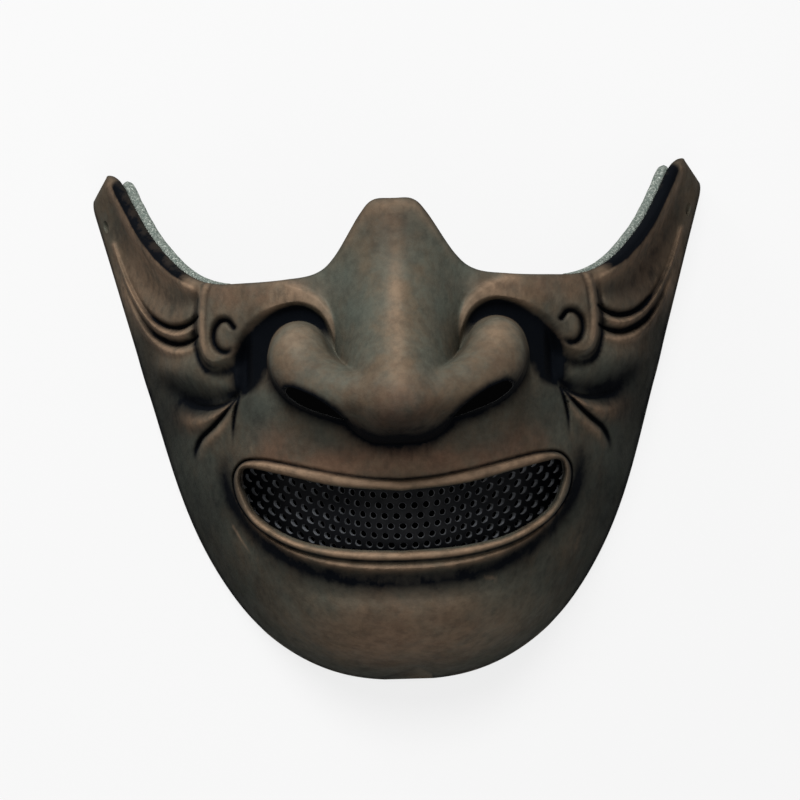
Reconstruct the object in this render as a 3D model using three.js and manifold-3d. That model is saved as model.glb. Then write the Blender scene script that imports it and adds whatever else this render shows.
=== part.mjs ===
// Samurai face guard: a moulded half mask with a perforated mouth panel and two foam pads.
// The shapes are laid out as they are worn, as side (+ to the viewer's right), up and front,
// with the mouth side of the face near front 0. The last step lays the mask face up on its
// flat rear rim. Millimetres.
import * as THREE from "three";
import { mergeVertices } from "three/addons/utils/BufferGeometryUtils.js";
import Module from "manifold-3d";

// The moulded shell
const wall = 3;
const chinDrop = 75; // from the level of the nose base down to the rim under the chin
const rimSetback = 50; // the rim under the chin, behind the lips
const rimLean = 0.387; // how far the rear rim falls back for each millimetre up
const halfWidthAtNose = 74.6;
const widthFlare = 0.306; // half width gained for each millimetre up
const sideRoundness = 2.5;
const chinRoundness = 3.1;
const sideBend = 0.95;
const chinBend = 1.5;
const rimOvershoot = 1.07; // the skins run this far past the rim before it is cut flat

// The nose down its middle: up, half breadth, height over the face, and how squarely it rises
const noseStations = [
  [70, 21, 11, 1.5],
  [52, 21, 13, 1.5],
  [40, 20.5, 17, 1.4],
  [30, 18.5, 22.5, 1],
  [22, 17.5, 28, 0.7],
  [15, 17.5, 33, 0.55],
  [9, 17.3, 35.5, 0.52],
  [4, 15.6, 35.5, 0.5],
  [0, 12, 32.5, 0.5],
  [-2.4, 7.5, 29, 0.5],
  [-3.3, 3, 26, 0.5],
];
const noseSquareness = 2.3;
const tailSquareness = 0.35;
const noseRoot = 0.7 * wall; // how deep the nose sits in the face
const cavityReach = 14; // the nose cavity is cut this far behind the face

// One wing of the nose and its nostril rim: side, up, front, breadth and height
const wingStations = [
  [29.5, 30.5, -5, 3.5, 3.5],
  [28.8, 27.5, 0, 8, 7],
  [27.6, 23.5, 3, 9.7, 11],
  [26.5, 19, 4.5, 9.9, 13.5],
  [24.5, 15.5, 6.5, 9, 13.5],
  [20.5, 12.5, 10, 7.6, 12.5],
  [15, 10.5, 14, 7, 12.5],
  [8, 9.5, 18, 6.5, 12],
];

// The hollow between nose wing and scroll, the scroll, and the hollow under the lower lip
const hollowCentre = [38, 24];
const hollowRadius = [12, 15];
const hollowDepth = 7;
const scrollHeight = 2.8;
const scrollRoot = 1.2; // how deep its edges sit in the face
const scrollEnd = 0.06; // share of its length over which the outer end rises
const chinHollowUp = -45;
const chinHollowReach = 48; // sideways
const chinHollowLift = 8; // how far its ends curve up
const chinHollowHeight = 7;
const chinHollowDepth = 2.4;

// The mouth
const lipRadius = 1.9;
const lipOutset = 1.9;
const lipSides = 7;
const wingSides = 16;
const mouthSteps = 48;

// The holes
const cutterFront = 60; // every straight cutter starts ahead of the nose
const mouthCutDepth = 140;
const nostrilCutDepth = 75;
const eyeCutDepth = 90;
const eyeCutTop = 100;
const eyeCutShare = 0.42; // of the rim, from the middle to where the pads start
const bridgeReach = 28; // the plain skin is raised this far to each side of the middle,
const bridgeBlend = 8; // falling back over this breadth
const bridgeRaise = 4; // so that it runs over the nose bridge before it is cut
const beyond = 240; // longer than the mask in any direction
const strapHoleRadius = 2;
const strapHolePlace = { up: 66, front: -97 };

// The mouth panel and the pads
const gap = 0.4;
const panelThickness = 1;
const panelHalfWidth = 53;
const panelTop = -7;
const panelBottom = -44;
const panelLift = 7; // how far the panel's lower corners curve up
const panelDroop = 0.2; // share of that lift by which its upper corners drop
const padThickness = 3.4;
const padFrom = 0.53; // share of the way from the bridge to the horn tip
const padTo = 0.945;
const padDepth = 0.62; // share of a column, measured down from the top rim
const padLead = 0.2; // the pad reaches its full depth within this share of the rim
const padStart = 0.35; // share of its full depth, about, at its inner end
const padTop = 1.012; // the pad shows a little over the horn's edge

// The fineness of the faceted skins
const columns = 42;
const rows = 20;
const rowCrowding = 1.3;
const slopeStep = 1.5;

const wasm = await Module();
wasm.setup();

// A smooth rise from 0 to 1 while value goes from 0 to 1.
function ease(value) {
  const held = THREE.MathUtils.clamp(value, 0, 1);
  return held * held * (3 - 2 * held);
}

// A value that follows a list of [place, value] stops in straight steps.
function follow(stops, place) {
  const next = stops.findIndex(([at]) => at > place);
  if (next === 0) return stops[0][1];
  if (next < 0) return stops[stops.length - 1][1];
  const [from, first] = stops[next - 1];
  const [to, second] = stops[next];
  return first + (second - first) * ((place - from) / (to - from));
}

function halfWidth(up) {
  return halfWidthAtNose + widthFlare * up;
}

function rimFront(up) {
  return -rimSetback - (up + chinDrop) * rimLean;
}

// The plain face without its features: 0 at the front, falling to the rear rim at share 1.
function faceFront(side, up) {
  const sideShare = Math.pow(Math.abs(side) / halfWidth(up), sideRoundness);
  const chinShare = Math.pow(Math.max(0, -up) / chinDrop, chinRoundness);
  const share = sideShare + chinShare;
  const bend = share > 0 ? THREE.MathUtils.lerp(sideBend, chinBend, chinShare / share) : sideBend;
  return rimFront(up) * Math.pow(share, bend);
}

// A nose station's value between the given ones, by up.
function noseValue(index, up) {
  return follow(noseStations.map((station) => [station[0], station[index]]).reverse(), up);
}

function noseRise(side, up, inset) {
  const away = Math.min(1, Math.abs(side) / (noseValue(1, up) - inset));
  return (noseValue(2, up) - inset) * Math.pow(1 - Math.pow(away, noseSquareness), noseValue(3, up));
}

function hollowFall(side, up) {
  const across = (Math.abs(side) - hollowCentre[0]) / hollowRadius[0];
  const along = (up - hollowCentre[1]) / hollowRadius[1];
  return hollowDepth * ease(1.15 - Math.hypot(across, along));
}

function chinHollowFall(side, up) {
  const across = Math.abs(side) / chinHollowReach;
  const along = (up - chinHollowUp - chinHollowLift * across * across) / chinHollowHeight;
  return chinHollowDepth * ease(1 - Math.hypot(Math.pow(across, 3), along));
}

// The face with its soft hollows, before the nose, scrolls and lips are added.
function skinFront(side, up) {
  return faceFront(side, up) - hollowFall(side, up) - chinHollowFall(side, up);
}

function pointAt(heightOf, side, up) {
  return new THREE.Vector3(side, up, heightOf(side, up));
}

// The outward direction of a skin given as front by side and up.
function outward(heightOf, side, up) {
  const bySide = heightOf(side + slopeStep, up) - heightOf(side - slopeStep, up);
  const byUp = heightOf(side, up + slopeStep) - heightOf(side, up - slopeStep);
  return new THREE.Vector3(-bySide, -byUp, 2 * slopeStep).normalize();
}

function innerPoint(side, up, depth) {
  const outer = pointAt(skinFront, side, up);
  return outer.addScaledVector(outward(skinFront, side, up), -depth);
}

// The lower outline, from the middle of the chin to the rear corner of a wing.
function lowerOutline() {
  const cornerUp = 73;
  const points = [];
  for (let step = 0; step <= 16; step += 1) {
    const turn = (Math.PI / 2) * (1 - step / 16);
    const up = -chinDrop * Math.pow(Math.sin(turn) * Math.sqrt(rimOvershoot), 2 / chinRoundness);
    const side = halfWidth(up) * Math.pow(Math.cos(turn) * Math.sqrt(rimOvershoot), 2 / sideRoundness);
    points.push(new THREE.Vector2(side, up));
  }
  for (let step = 1; step <= 4; step += 1) {
    const up = (cornerUp * step) / 4;
    points.push(new THREE.Vector2(halfWidth(up) * Math.pow(rimOvershoot, 1 / sideRoundness), up));
  }
  return new THREE.SplineCurve(points);
}

// The top rim, from the middle of the nose bridge to the tip of a horn.
const topRim = new THREE.SplineCurve([
  new THREE.Vector2(0, 65.4),
  new THREE.Vector2(5.6, 65.1),
  new THREE.Vector2(9.6, 61.2),
  new THREE.Vector2(17.2, 50),
  new THREE.Vector2(23.2, 45.4),
  new THREE.Vector2(32, 44),
  new THREE.Vector2(44, 43.6),
  new THREE.Vector2(56, 44.4),
  new THREE.Vector2(66, 49.3),
  new THREE.Vector2(75.8, 59.6),
  new THREE.Vector2(82.4, 70.4),
  new THREE.Vector2(86.4, 78),
  new THREE.Vector2(90.6, 82),
]);
const lowerRim = lowerOutline();

// The side and up of a place on the skins: across runs from -1 to 1, upward from 0 to 1.
function skinPlace(across, upward) {
  const low = lowerRim.getPointAt(Math.abs(across));
  const high = topRim.getPointAt(Math.abs(across));
  high.y += bridgeRaise * ease((bridgeReach - high.x) / bridgeBlend);
  const place = low.lerp(high, Math.pow(upward, rowCrowding));
  return { side: Math.sign(across) * place.x, up: place.y };
}

function indexedSolid(points, faces) {
  const vertProperties = new Float32Array(points.flatMap((point) => point.toArray()));
  const mesh = new wasm.Mesh({ numProp: 3, vertProperties, triVerts: new Uint32Array(faces.flat()) });
  return new wasm.Manifold(mesh);
}

// A closed sheet between two skins sampled over the same grid of shares.
function sheet(acrossCount, upwardCount, frontPoint, backPoint) {
  const points = [];
  const faces = [];
  const layer = (acrossCount + 1) * (upwardCount + 1);
  const index = (column, row, back) => back * layer + row * (acrossCount + 1) + column;
  for (const pointOf of [frontPoint, backPoint])
    for (let row = 0; row <= upwardCount; row += 1)
      for (let column = 0; column <= acrossCount; column += 1)
        points.push(pointOf(column / acrossCount, row / upwardCount));
  const quad = (a, b, c, d) => faces.push([a, b, c], [a, c, d]);
  for (let row = 0; row < upwardCount; row += 1)
    for (let column = 0; column < acrossCount; column += 1) {
      const square = (back) => [
        index(column, row, back),
        index(column + 1, row, back),
        index(column + 1, row + 1, back),
        index(column, row + 1, back),
      ];
      quad(...square(0));
      quad(...square(1).reverse());
    }
  for (let column = 0; column < acrossCount; column += 1) {
    quad(index(column, 0, 1), index(column + 1, 0, 1), index(column + 1, 0, 0), index(column, 0, 0));
    const top = upwardCount;
    quad(index(column, top, 0), index(column + 1, top, 0), index(column + 1, top, 1), index(column, top, 1));
  }
  for (let row = 0; row < upwardCount; row += 1) {
    quad(index(0, row, 0), index(0, row + 1, 0), index(0, row + 1, 1), index(0, row, 1));
    const end = acrossCount;
    quad(index(end, row, 1), index(end, row + 1, 1), index(end, row + 1, 0), index(end, row, 0));
  }
  return indexedSolid(points, faces);
}

// The skins without holes, running a little past the rear rim.
function plainShell() {
  return sheet(
    columns,
    rows,
    (column, row) => {
      const { side, up } = skinPlace(column * 2 - 1, row);
      return pointAt(skinFront, side, up);
    },
    (column, row) => {
      const { side, up } = skinPlace(column * 2 - 1, row);
      return innerPoint(side, up, wall);
    },
  );
}

// The mouth's outline as [side, up], from the left corner over the top and back below.
function mouthOutline(outset) {
  const upperEdge = [
    new THREE.Vector2(46.9, -12),
    new THREE.Vector2(45, -9.9),
    new THREE.Vector2(34.5, -11.8),
    new THREE.Vector2(18, -15.4),
    new THREE.Vector2(0, -17.2),
  ];
  const lowerEdge = [
    new THREE.Vector2(0, -34.4),
    new THREE.Vector2(18, -33.4),
    new THREE.Vector2(32, -30.4),
    new THREE.Vector2(42.5, -24.2),
    new THREE.Vector2(46.6, -16.5),
  ];
  const rightHalf = [...upperEdge].reverse();
  const mirrored = (point) => new THREE.Vector2(-point.x, point.y);
  const loop = new THREE.CatmullRomCurve3(
    [
      ...upperEdge.slice(0, -1).map(mirrored),
      ...rightHalf,
      ...[...lowerEdge].reverse(),
      ...lowerEdge.slice(1).map(mirrored),
    ].map((point) => new THREE.Vector3(point.x, point.y, 0)),
    true,
    "centripetal",
  );
  const places = [];
  for (let step = 0; step < mouthSteps; step += 1) {
    const share = step / mouthSteps;
    const ahead = loop.getTangentAt(share);
    places.push(loop.getPointAt(share).add(new THREE.Vector3(-ahead.y, ahead.x, 0).multiplyScalar(outset)));
  }
  return places;
}

// A closed solid through rings of the same number of points. The ends are closed, or meet.
function loft(rings, endless) {
  const size = rings[0].length;
  const points = rings.flat();
  const faces = [];
  const spans = endless ? rings.length : rings.length - 1;
  for (let ring = 0; ring < spans; ring += 1)
    for (let place = 0; place < size; place += 1) {
      const next = (place + 1) % size;
      const here = ring * size;
      const there = ((ring + 1) % rings.length) * size;
      faces.push([here + place, here + next, there + next], [here + place, there + next, there + place]);
    }
  if (!endless)
    for (const [ring, turned] of [
      [0, true],
      [rings.length - 1, false],
    ]) {
      const centre = points.push(rings[ring].reduce((sum, point) => sum.clone().add(point)).divideScalar(size)) - 1;
      for (let place = 0; place < size; place += 1) {
        const edge = [ring * size + place, ring * size + ((place + 1) % size)];
        faces.push(turned ? [edge[1], edge[0], centre] : [edge[0], edge[1], centre]);
      }
    }
  return indexedSolid(points, faces);
}

// A ring across the way a route runs: an oval in front, and behind it a squarer tail.
function wingRing(centre, ahead, out, breadth, height, tail) {
  const across = ahead.clone().cross(out).normalize();
  const ring = [];
  for (let side = 0; side < wingSides; side += 1) {
    const turn = (2 * Math.PI * side) / wingSides;
    const inFront = Math.cos(turn) >= 0;
    const spread = Math.sign(Math.sin(turn)) * Math.pow(Math.abs(Math.sin(turn)), inFront ? 1 : tailSquareness);
    ring.push(
      centre
        .clone()
        .addScaledVector(out, (inFront ? height : tail) * Math.cos(turn))
        .addScaledVector(across, breadth * spread),
    );
  }
  return ring;
}

// An oval ring around a place on a skin, across the way the route runs.
function ovalRing(centre, ahead, out, breadth, height, sides) {
  const across = ahead.clone().cross(out).normalize();
  const ring = [];
  for (let side = 0; side < sides; side += 1) {
    const turn = (2 * Math.PI * side) / sides;
    ring.push(
      centre
        .clone()
        .addScaledVector(out, height * Math.cos(turn))
        .addScaledVector(across, breadth * Math.sin(turn)),
    );
  }
  return ring;
}

// A closed roll of round section that follows the skin around the mouth.
function lipRoll() {
  const centres = mouthOutline(lipOutset).map((place) => pointAt(skinFront, place.x, place.y));
  const rings = centres.map((centre, step) => {
    const ahead = centres[(step + 1) % mouthSteps].clone().sub(centres[(step + mouthSteps - 1) % mouthSteps]);
    return ovalRing(centre, ahead, outward(skinFront, centre.x, centre.y), lipRadius, lipRadius, lipSides);
  });
  return loft(rings, true);
}

// The scroll's two edges, from beside the nose over the hollow to the blunt outer end.
const scrollOuterEdge = new THREE.SplineCurve([
  new THREE.Vector2(15.6, 22),
  new THREE.Vector2(16.4, 30),
  new THREE.Vector2(20.3, 37.4),
  new THREE.Vector2(29, 42),
  new THREE.Vector2(42, 43.3),
  new THREE.Vector2(54.5, 43.6),
  new THREE.Vector2(58.3, 40.5),
]);
const scrollInnerEdge = new THREE.SplineCurve([
  new THREE.Vector2(17.6, 22),
  new THREE.Vector2(19.3, 28.8),
  new THREE.Vector2(23.6, 35.4),
  new THREE.Vector2(29, 36.8),
  new THREE.Vector2(36.6, 33.9),
  new THREE.Vector2(42.8, 27),
  new THREE.Vector2(47, 21.2),
  new THREE.Vector2(57.3, 19.5),
]);

function scroll(mirror) {
  const place = (along, across) => {
    const share = mirror > 0 ? along : 1 - along;
    const point = scrollOuterEdge.getPointAt(share).lerp(scrollInnerEdge.getPointAt(share), 1 - across);
    const end = ease((1 - share) / scrollEnd) * Math.pow(1 - Math.abs(across * 2 - 1) ** 4, 0.5);
    return { side: mirror * point.x, up: point.y, end };
  };
  const front = (side, up) => faceFront(side, up) + noseRise(side, up, 0);
  return sheet(
    18,
    4,
    (along, across) => {
      const { side, up, end } = place(along, across);
      return new THREE.Vector3(side, up, front(side, up) - scrollRoot + (scrollHeight + scrollRoot) * end);
    },
    (along, across) => {
      const { side, up } = place(along, across);
      return new THREE.Vector3(side, up, front(side, up) - 4 * scrollRoot);
    },
  );
}

function solidOf(geometry) {
  geometry.deleteAttribute("normal");
  geometry.deleteAttribute("uv");
  const merged = mergeVertices(geometry, 1e-3);
  const mesh = new wasm.Mesh({
    numProp: 3,
    vertProperties: merged.attributes.position.array,
    triVerts: new Uint32Array(merged.index.array),
  });
  return new wasm.Manifold(mesh);
}

// A cutter that goes straight back through the face inside an outline.
function straightCutter(outline, depth) {
  const shape = new THREE.Shape(outline.map((place) => new THREE.Vector2(place.x, place.y)));
  const geometry = new THREE.ExtrudeGeometry(shape, { depth, bevelEnabled: false });
  geometry.translate(0, 0, cutterFront - depth);
  return solidOf(geometry);
}

// One nostril's outline: a slanted slit under the wing.
function nostrilOutline(mirror) {
  const edge = new THREE.SplineCurve([
    new THREE.Vector2(14.8, 3.9),
    new THREE.Vector2(19.5, 6.4),
    new THREE.Vector2(25, 8.9),
    new THREE.Vector2(30.5, 11.8),
    new THREE.Vector2(29.5, 13.4),
    new THREE.Vector2(24.5, 11.6),
    new THREE.Vector2(19, 7.8),
    new THREE.Vector2(14.8, 3.9),
  ]);
  const points = edge.getPoints(20).slice(0, -1);
  return points.map((point) => new THREE.Vector2(mirror * point.x, point.y));
}

function strapHoleCutter() {
  const geometry = new THREE.CylinderGeometry(strapHoleRadius, strapHoleRadius, beyond, 16);
  geometry.rotateZ(Math.PI / 2);
  geometry.translate(0, strapHolePlace.up, strapHolePlace.front);
  return solidOf(geometry);
}

// Everything behind the flat rear rim.
function rimCutter() {
  const geometry = new THREE.BoxGeometry(2 * beyond, 2 * beyond, beyond);
  geometry.translate(0, 0, -beyond / 2);
  geometry.rotateX(-Math.atan(rimLean));
  geometry.translate(0, -chinDrop, -rimSetback);
  return solidOf(geometry);
}

// One wing of the nose, its surface this far inside the outer one.
function noseWing(mirror, inset) {
  const stations = inset > 0 ? wingStations.slice(1) : wingStations;
  const middle = stations.map(([side, up, front]) => new THREE.Vector3(mirror * side, up, front));
  const reach = inset > 0 ? cavityReach : noseRoot; // the inner one opens through the inside
  const straightOut = new THREE.Vector3(0, 0, 1);
  const rings = stations.map(([side, up, front, breadth, height], index) => {
    const ahead = middle[Math.min(index + 1, middle.length - 1)].clone().sub(middle[Math.max(index - 1, 0)]);
    ahead.z = 0;
    const tail = front - faceFront(side, up) + reach;
    return wingRing(middle[index], ahead, straightOut, breadth - inset, height - inset, tail);
  });
  return loft(rings, false);
}

// The nose as a solid, its surface this far inside the outer one.
function nose(inset) {
  const reach = inset > 0 ? cavityReach : noseRoot;
  const last = noseStations.length - 1;
  const place = (across, upward) => {
    const station = noseStations[Math.round((1 - upward) * last)];
    const up = station[0] + inset * ease(1 - upward * 3);
    return { side: (across * 2 - 1) * Math.max(1, station[1] - inset), up, station };
  };
  const middle = sheet(
    12,
    last,
    (across, upward) => {
      const { side, up, station } = place(across, upward);
      const away = Math.pow(Math.abs(across * 2 - 1), noseSquareness);
      const rise = (station[2] - inset) * Math.pow(1 - away, station[3]);
      return new THREE.Vector3(side, up, faceFront(side, up) + rise);
    },
    (across, upward) => {
      const { side, up } = place(across, upward);
      return new THREE.Vector3(side, up, faceFront(side, up) - reach);
    },
  );
  return middle.add(noseWing(-1, inset)).add(noseWing(1, inset));
}

// Everything above the top rim between the two horns, cut straight back.
function eyeCutter() {
  const half = [];
  for (let step = 0; step <= 24; step += 1) half.push(topRim.getPointAt((eyeCutShare * step) / 24));
  const left = half.map((point) => new THREE.Vector2(-point.x, point.y)).reverse();
  const end = half[half.length - 1];
  const above = [new THREE.Vector2(end.x, eyeCutTop), new THREE.Vector2(-end.x, eyeCutTop)];
  return straightCutter([...left, ...half.slice(1), ...above], eyeCutDepth);
}

function maskShell() {
  const mouth = straightCutter(mouthOutline(0), mouthCutDepth);
  const nostrils = [-1, 1].map((mirror) => straightCutter(nostrilOutline(mirror), nostrilCutDepth));
  return plainShell()
    .add(nose(0))
    .add(scroll(-1))
    .add(scroll(1))
    .add(lipRoll())
    .subtract(nose(wall))
    .subtract(mouth)
    .subtract(nostrils[0])
    .subtract(nostrils[1])
    .subtract(eyeCutter())
    .subtract(strapHoleCutter())
    .subtract(rimCutter());
}

// The panel's place behind the mouth, following the inside of the shell.
function panelPoint(across, upward, depth) {
  const side = (across * 2 - 1) * panelHalfWidth;
  const lift = panelLift * (side / panelHalfWidth) ** 2;
  const up = THREE.MathUtils.lerp(panelBottom + lift, panelTop - panelDroop * lift, upward);
  const outer = pointAt(faceFront, side, up);
  return outer.addScaledVector(outward(faceFront, side, up), -depth);
}

function mouthPanel() {
  const front = wall + chinHollowDepth + gap;
  return sheet(
    18,
    3,
    (across, upward) => panelPoint(across, upward, front),
    (across, upward) => panelPoint(across, upward, front + panelThickness),
  );
}

// A pad inside one wing, from just under the horn's edge downward.
function pad(mirror) {
  const padPoint = (across, upward, depth) => {
    const share = THREE.MathUtils.lerp(padFrom, padTo, mirror > 0 ? across : 1 - across);
    const foot = 1 - padDepth * ease((share - padFrom) / padLead + padStart);
    const row = THREE.MathUtils.lerp(foot, padTop, upward);
    const { side, up } = skinPlace(mirror * share, row);
    return innerPoint(side, up, depth);
  };
  return sheet(
    8,
    5,
    (across, upward) => padPoint(across, upward, wall + gap),
    (across, upward) => padPoint(across, upward, wall + gap + padThickness),
  );
}

function namedMesh(name, solid, colour, roughness, metalness) {
  const made = solid.getMesh();
  const geometry = new THREE.BufferGeometry();
  geometry.setAttribute("position", new THREE.BufferAttribute(made.vertProperties, 3));
  geometry.setIndex(new THREE.BufferAttribute(made.triVerts, 1));
  const mesh = new THREE.Mesh(geometry, new THREE.MeshStandardMaterial({ color: colour, roughness, metalness }));
  mesh.name = name;
  return mesh;
}

// Lays the worn frame on the rear rim: front becomes mostly +Z, up becomes mostly +Y.
const lean = Math.atan(rimLean);
const laid = new THREE.Group();
laid.rotation.x = lean;
laid.position.z = chinDrop * Math.sin(lean) + rimSetback * Math.cos(lean);
laid.add(
  namedMesh("mask_shell", maskShell(), 0x4a3a30, 0.5, 0),
  namedMesh("mouth_mesh", mouthPanel(), 0x14161a, 0.45, 0.6),
  namedMesh("lining_left", pad(-1), 0x8f9a90, 0.9, 0),
  namedMesh("lining_right", pad(1), 0x8f9a90, 0.9, 0),
);
const faceGuard = new THREE.Group();
faceGuard.add(laid);
laid.position.y = -new THREE.Box3().setFromObject(faceGuard, true).getCenter(new THREE.Vector3()).y;

export default faceGuard;
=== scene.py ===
import math

import bmesh
import bpy
import numpy as np
from mathutils import Matrix, Vector


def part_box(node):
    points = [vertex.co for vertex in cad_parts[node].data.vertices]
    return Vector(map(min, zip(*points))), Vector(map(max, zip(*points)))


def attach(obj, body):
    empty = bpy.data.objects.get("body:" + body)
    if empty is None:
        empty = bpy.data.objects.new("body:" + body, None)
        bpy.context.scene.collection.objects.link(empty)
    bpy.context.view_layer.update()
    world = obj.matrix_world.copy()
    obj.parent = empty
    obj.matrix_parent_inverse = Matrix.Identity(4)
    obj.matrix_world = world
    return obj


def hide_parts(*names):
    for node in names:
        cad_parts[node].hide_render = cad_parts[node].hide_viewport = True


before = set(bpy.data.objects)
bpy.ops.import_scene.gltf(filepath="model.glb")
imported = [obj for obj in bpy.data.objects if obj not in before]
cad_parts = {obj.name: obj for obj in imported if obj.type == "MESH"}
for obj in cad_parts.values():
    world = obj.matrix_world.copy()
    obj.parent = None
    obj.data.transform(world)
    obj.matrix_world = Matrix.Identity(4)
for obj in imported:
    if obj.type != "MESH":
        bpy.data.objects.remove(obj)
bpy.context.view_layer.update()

# The design is laid out as it is worn: side (+ to the right), up and front, in millimetres.
# toRow() lays it face up on the rear rim, in the frame's metres.
face = {
    "breadth": 195.12,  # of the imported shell
    "wall": 3.0,
    "chinDrop": 75.0,
    "rimSetback": 50.0,
    "rimLean": 0.387,
    "halfWidth": 74.6,
    "widthFlare": 0.306,
    "sideRoundness": 2.5,
    "chinRoundness": 3.1,
    "sideBend": 0.95,
    "chinBend": 1.5,
    "rimOvershoot": 1.07,
    "cornerUp": 73.0,
    "leastFacing": 0.35,  # relief on steep sides is not stretched beyond this share
}
shellLow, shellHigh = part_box("mask_shell")
mm = (shellHigh.x - shellLow.x) / face["breadth"]
lean = math.atan(face["rimLean"])
leanCos, leanSin = math.cos(lean), math.sin(lean)
shiftY = shellLow.y / mm + face["chinDrop"] * leanCos - face["rimSetback"] * leanSin
shiftZ = shellLow.z / mm + face["chinDrop"] * leanSin + face["rimSetback"] * leanCos
mergeDistance = 0.0005 * mm


def toRow(side, up, front):
    y = up * leanCos - front * leanSin + shiftY
    z = up * leanSin + front * leanCos + shiftZ
    return np.stack([side, y, z], -1) * mm


def ease(value):
    held = np.clip(value, 0, 1)
    return held * held * (3 - 2 * held)


def softMax(first, second, blend):
    return 0.5 * (first + second + np.sqrt((first - second) ** 2 + blend * blend))


# A smooth line through points; columns after the first two are carried along it.
def smoothCurve(points, steps=8):
    knots = np.array(points, float)
    padded = np.vstack([2 * knots[0] - knots[1], knots, 2 * knots[-1] - knots[-2]])
    share = np.arange(steps)[:, None] / steps
    spans = []
    for before, start, end, after in zip(padded, padded[1:], padded[2:], padded[3:]):
        spans.append(0.5 * (2 * start + (end - before) * share
                            + (2 * before - 5 * start + 4 * end - after) * share ** 2
                            + (3 * start - before - 3 * end + after) * share ** 3))
    return np.vstack(spans + [knots[-1:]])


# Distance to a curve, and the curve's carried columns at the nearest place.
def alongCurve(side, up, curve, reach=12.0):
    low, high = curve[:, :2].min(0) - reach, curve[:, :2].max(0) + reach
    close = (side > low[0]) & (side < high[0]) & (up > low[1]) & (up < high[1])
    nearSide, nearUp = side[close], up[close]
    nearest = np.full(nearSide.shape, float(reach))
    carried = np.zeros(nearSide.shape + (curve.shape[1] - 2,))
    for start, end in zip(curve, curve[1:]):
        run = end - start
        offSide, offUp = nearSide - start[0], nearUp - start[1]
        share = np.clip((offSide * run[0] + offUp * run[1]) / (run[0] ** 2 + run[1] ** 2 + 1e-12), 0, 1)
        distance = np.hypot(offSide - share * run[0], offUp - share * run[1])
        closer = distance < nearest
        nearest[closer] = distance[closer]
        carried[closer] = start[2:] + share[closer, None] * run[2:]
    distances = np.full(side.shape, float(reach))
    columns = np.zeros(side.shape + (curve.shape[1] - 2,))
    distances[close], columns[close] = nearest, carried
    return distances, columns


# The same for a drawn line of side, up, half width and amount.
def lineAt(side, up, points, leastWidth=0.3, reach=12.0):
    distance, carried = alongCurve(side, up, smoothCurve(points), reach)
    return distance, np.maximum(carried[..., 0], leastWidth), carried[..., 1]


# A drawn line as a soft stroke.
def stroke(side, up, points, leastWidth=0.3, reach=12.0):
    distance, width, amount = lineAt(side, up, points, leastWidth, reach)
    return amount * np.exp(-(distance / width) ** 2)


# Soft round spots: side, up, two radii and amount.
def spots(side, up, rows):
    total = np.zeros(side.shape)
    for atSide, atUp, sideRadius, upRadius, amount in rows:
        total += amount * np.exp(-((side - atSide) / sideRadius) ** 2 - ((up - atUp) / upRadius) ** 2)
    return total


# Distance to a closed outline, positive inside it.
def insideOutline(side, up, outline, reach=12.0):
    loop = np.vstack([outline, outline[:1]])
    distance, _ = alongCurve(side, up, loop, reach)
    inside = np.zeros(side.shape, bool)
    for start, end in zip(loop, loop[1:]):
        if start[1] != end[1]:
            crossing = start[0] + (up - start[1]) * (end[0] - start[0]) / (end[1] - start[1])
            inside ^= ((start[1] > up) != (end[1] > up)) & (side < crossing)
    return np.where(inside, distance, -distance)


def blurred(field, reach, axes=(0, 1)):
    width = int(3 * reach + 1)
    weights = np.exp(-0.5 * (np.arange(-width, width + 1) / reach) ** 2)
    weights /= weights.sum()
    for axis in axes:
        padding = [(0, 0), (0, 0)]
        padding[axis] = (width, width)
        padded = np.pad(field, padding, mode="edge")
        total = np.zeros_like(field)
        for step, weight in enumerate(weights):
            window = [slice(None), slice(None)]
            window[axis] = slice(step, step + field.shape[axis])
            total += weight * padded[tuple(window)]
        field = total
    return field


# The plain face: front as a function of side and up, and the share of its normal that points front.
def faceFront(side, up):
    sideShare = (np.abs(side) / (face["halfWidth"] + face["widthFlare"] * up)) ** face["sideRoundness"]
    chinShare = (np.maximum(0, -up) / face["chinDrop"]) ** face["chinRoundness"]
    share = np.maximum(sideShare + chinShare, 1e-9)
    bend = face["sideBend"] + (face["chinBend"] - face["sideBend"]) * chinShare / share
    rimFront = -face["rimSetback"] - (up + face["chinDrop"]) * face["rimLean"]
    return rimFront * share ** bend


def faceNormal(side, up):
    bySide = (faceFront(side + 1, up) - faceFront(side - 1, up)) / 2
    byUp = (faceFront(side, up + 1) - faceFront(side, up - 1)) / 2
    length = np.sqrt(bySide ** 2 + byUp ** 2 + 1)
    return -bySide / length, -byUp / length, 1 / length


# The plain face moved inward along its own normal.
def insetFace(side, up, depth):
    return np.stack([side, up, faceFront(side, up)], -1) - depth * np.stack(faceNormal(side, up), -1)


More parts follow.
